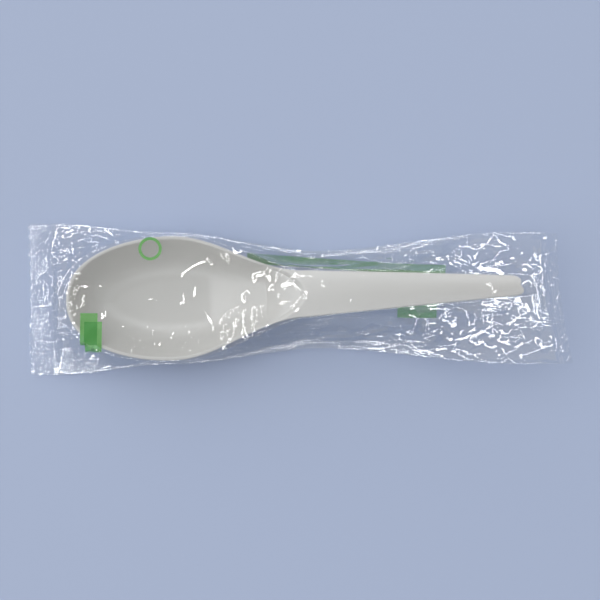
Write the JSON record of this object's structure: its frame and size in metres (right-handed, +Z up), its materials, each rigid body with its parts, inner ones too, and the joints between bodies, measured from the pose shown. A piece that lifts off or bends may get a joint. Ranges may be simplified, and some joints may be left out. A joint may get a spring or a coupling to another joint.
{
  "type": "wrapped chinese soup spoon",
  "caption": "Deep soup spoon with a flat foot, a ramp up to a raised channel handle, sealed in a clear crimped film sleeve that slides a little along it.",
  "frame": {"origin": "middle of the spoon's length on its centre line, on the surface that the sleeve lies on", "axes": "+X along the spoon from the bowl to the handle's end, +Y to the left of it, +Z up, out of the bowl's mouth"},
  "size_m": [0.1847, 0.0535, 0.03],
  "materials": {
    "spoon_plastic": "injection-moulded white polystyrene, soft gloss",
    "clear_film": "clear glossy polypropylene film, crinkled",
    "crimped_film": "clear polypropylene film, heat-sealed with crimped ribs",
    "green_ink": "flexographic green print on the film"
  },
  "bodies": {
    "spoon": {"spoon": "spoon_plastic"},
    "sleeve": {"front_film_panel": "clear_film", "back_film_panel": "clear_film", "back_fin_seal": "crimped_film", "bowl_end_seal": "crimped_film", "handle_end_seal": "crimped_film"}
  },
  "joints": [
    {"name": "sleeve_slide", "type": "slide", "parent": "spoon", "child": "sleeve", "axis": [1, 0, 0], "range_m": [-0.003, 0.002]}
  ]
}
